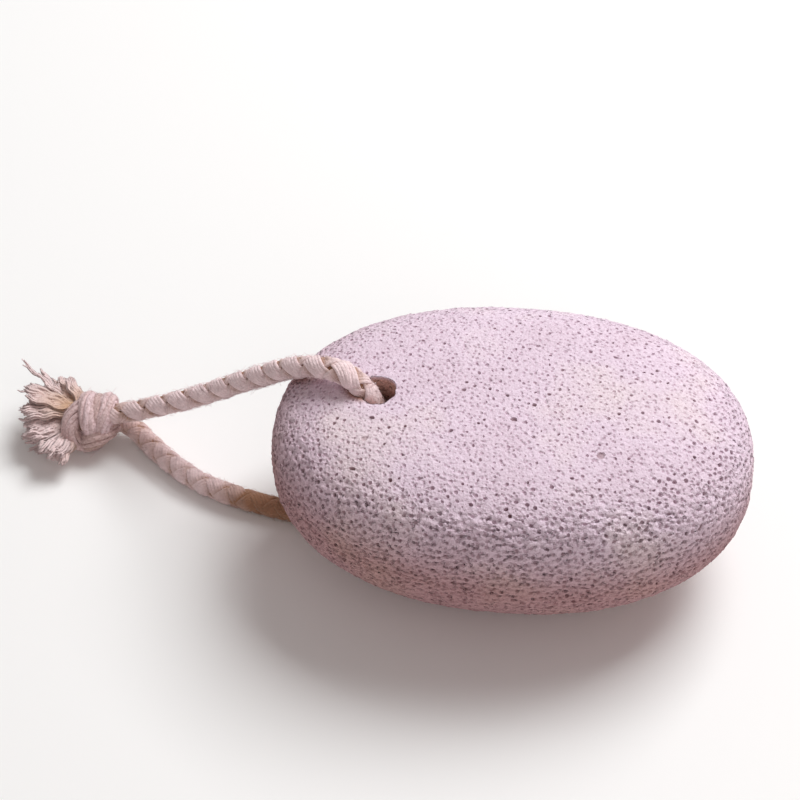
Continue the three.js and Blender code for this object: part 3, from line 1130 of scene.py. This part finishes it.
def stone_colour(n, dimple):
    body = n.ramp(n.noise(*BROAD_NOISE), STONE_BODY)
    height = n.add("ShaderNodeVectorMath", operation="DOT_PRODUCT")
    n.put(n.place(), height.inputs[0])
    n.put(LOW_SLANT, height.inputs[1])
    # the low tone: painted shade of the underside, with a browner tone of the stone there
    low = n.map_range(height.outputs["Value"], "SMOOTHSTEP", LOW_RANGE)
    body = n.mix(low, body, n.mix(1.0, body, LOW_SHADE_TONE, "MULTIPLY"))
    body = n.mix(SPECKLED, body, n.ramp(n.noise(*SPECK_NOISE), STONE_SPECKS), "MULTIPLY")
    # painted shade in the dimples
    body = n.mix(1.0, body, n.ramp(dimple, DIMPLE_SHADE_COLOUR), "MULTIPLY")
    # painted shade in the pits
    body = n.mix(n.ramp(n.attribute("pit"), PIT_SHADE_RAMP), body, PIT_SHADE_COLOUR)
    # painted shade and warm painted reflection on the hole's wall
    body = n.mix(n.attribute("wall"), body, HOLE_SHADE_COLOUR)
    # painted shadow where the rope lies on the stone
    return n.mix(n.attribute("rope_shadow"), body, n.mix(1.0, body, ROPE_SHADOW_COLOUR, "MULTIPLY"))


def stone_bumps(n, dimple):
    rough = n.map_range(n.attribute("rough"), "LINEAR", STONE_ROUGH)
    lumps = n.bump(n.noise(*LUMP_NOISE), LUMP_BUMP, rough)
    dimples = n.bump(dimple, DIMPLE_BUMP, rough, lumps)
    return n.bump(n.noise(*GRAIN_NOISE), *GRAIN_BUMP, dimples)


def stone_material():
    n = Nodes("pumice")
    cells = n.add("ShaderNodeTexVoronoi", Vector=n.place(), Scale=DIMPLE_SCALE, Randomness=1)
    dimple = n.map_range(cells.outputs["Distance"], "SMOOTHSTEP", DIMPLE_RANGE)
    n.surface(**{"Base Color": stone_colour(n, dimple), "Normal": stone_bumps(n, dimple)})
    n.surface(**STONE_SURFACE)
    return n.material


def cotton_material(name):
    """Cotton, bright on top and deep in the painted shade between its strands, speckled with dirt."""
    n = Nodes(name)
    bright, deep, dirty = COTTONS[name]
    start, end, darker = MOTTLE
    mottle = [(start, tuple(darker * c for c in bright)), (end, bright)]
    body = n.ramp(n.noise(*MOTTLE_NOISE), mottle)
    # painted shade between and under the strands, by the depth attribute
    body = n.mix(n.ramp(n.attribute("depth"), DEPTH_RAMP), body, deep)
    body = n.mix(dirty, body, n.ramp(n.noise(*DIRT_NOISE), COTTON_DIRT), "MULTIPLY")
    lay = n.add("ShaderNodeUVMap", uv_map="lay").outputs["UV"]
    stretch = n.add("ShaderNodeMapping", Vector=lay, Scale=FIBRE_SCALE, Rotation=FIBRE_SLANT)
    fluff = n.bump(n.noise(*FLUFF_NOISE), *FLUFF_BUMP)
    fibres = n.bump(n.noise(1, 2, stretch.outputs["Vector"]), *FIBRE_BUMP, fluff)
    n.surface(**{"Base Color": body, "Normal": fibres}, **COTTON_SURFACE)
    return n.material


# ---------------- studio

FLOOR_HALF = 2.0
FLOOR_COLOUR = (0.93, 0.93, 0.93)
FLOOR_ROUGHNESS = 0.9
WORLD_COLOUR = (1, 0.92, 0.89, 1)
WORLD_STRENGTH = 0.3

# Each soft light's angle about Z and climb, in degrees, its distance, size, power and colour.
SOFTBOXES = {
    "key": (53, 54, 1.3, 0.75, 16.3, (0.98, 1, 1)),  # behind the object and to its right
    "fill": (-60, 35, 1.5, 1.2, 3.3, (1, 0.88, 0.85)),  # in front and to the right
}


def make_floor():
    corners = [(-1, -1, 0), (1, -1, 0), (1, 1, 0), (-1, 1, 0)]
    floor = make_object("floor", FLOOR_HALF * np.array(corners), [[0, 1, 2, 3]])
    n = Nodes("floor")
    n.surface(**{"Base Color": FLOOR_COLOUR, "Roughness": FLOOR_ROUGHNESS})
    floor.data.materials.append(n.material)


def make_studio():
    make_floor()
    world = bpy.data.worlds.new("world")
    bpy.context.scene.world = world
    world.use_nodes = True
    background = world.node_tree.nodes["Background"]
    background.inputs["Color"].default_value = WORLD_COLOUR
    background.inputs["Strength"].default_value = WORLD_STRENGTH
    for name, light in SOFTBOXES.items():
        add_softbox(name, *light)
    bpy.context.scene.view_settings.view_transform = "Standard"


def add_softbox(name, angle, climb, distance, size, power, colour):
    """A square soft light that faces the middle of the floor."""
    angle, climb = math.radians(angle), math.radians(climb)
    level = Vector((math.cos(angle), math.sin(angle), 0))
    place = (level * math.cos(climb) + Vector((0, 0, math.sin(climb)))) * distance
    data = bpy.data.lights.new(name, "AREA")
    data.size = size
    data.energy = power
    data.color = colour
    light = bpy.data.objects.new(name, data)
    light.location = place
    light.rotation_euler = (-place).to_track_quat("-Z", "Y").to_euler()
    bpy.context.collection.objects.link(light)


# ---------------- assembly

make_camera()
top_leg, top_line = make_leg("rope_over", TOP_LEG, TOP_LAY, 1, PRESSED)
bottom_leg, bottom_line = make_leg("rope_under", BOTTOM_LEG, BOTTOM_LAY, 2, shade_reach=LEG_SHADE_REACH)
knot = make_knot()
tufts = [make_tuft(name, spec) for name, spec in TUFTS.items()]
stone = make_stone([top_line, bottom_line])

materials = {"pumice": stone_material(), **{name: cotton_material(name) for name in COTTONS}}
make_studio()

for piece, node, slot in (
    (stone, "pumice_stone", "pumice"),
    (top_leg, "rope_top_leg", "cotton_rope"),
    (bottom_leg, "rope_bottom_leg", "cotton_rope"),
    (knot, "rope_knot", "cotton_knot"),
    (tufts[0], "frayed_end_back", "cotton_fray"),
    (tufts[1], "frayed_end_front", "cotton_fray"),
):
    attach(piece, "root")
    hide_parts(node)
    piece.data.materials.append(materials[slot])
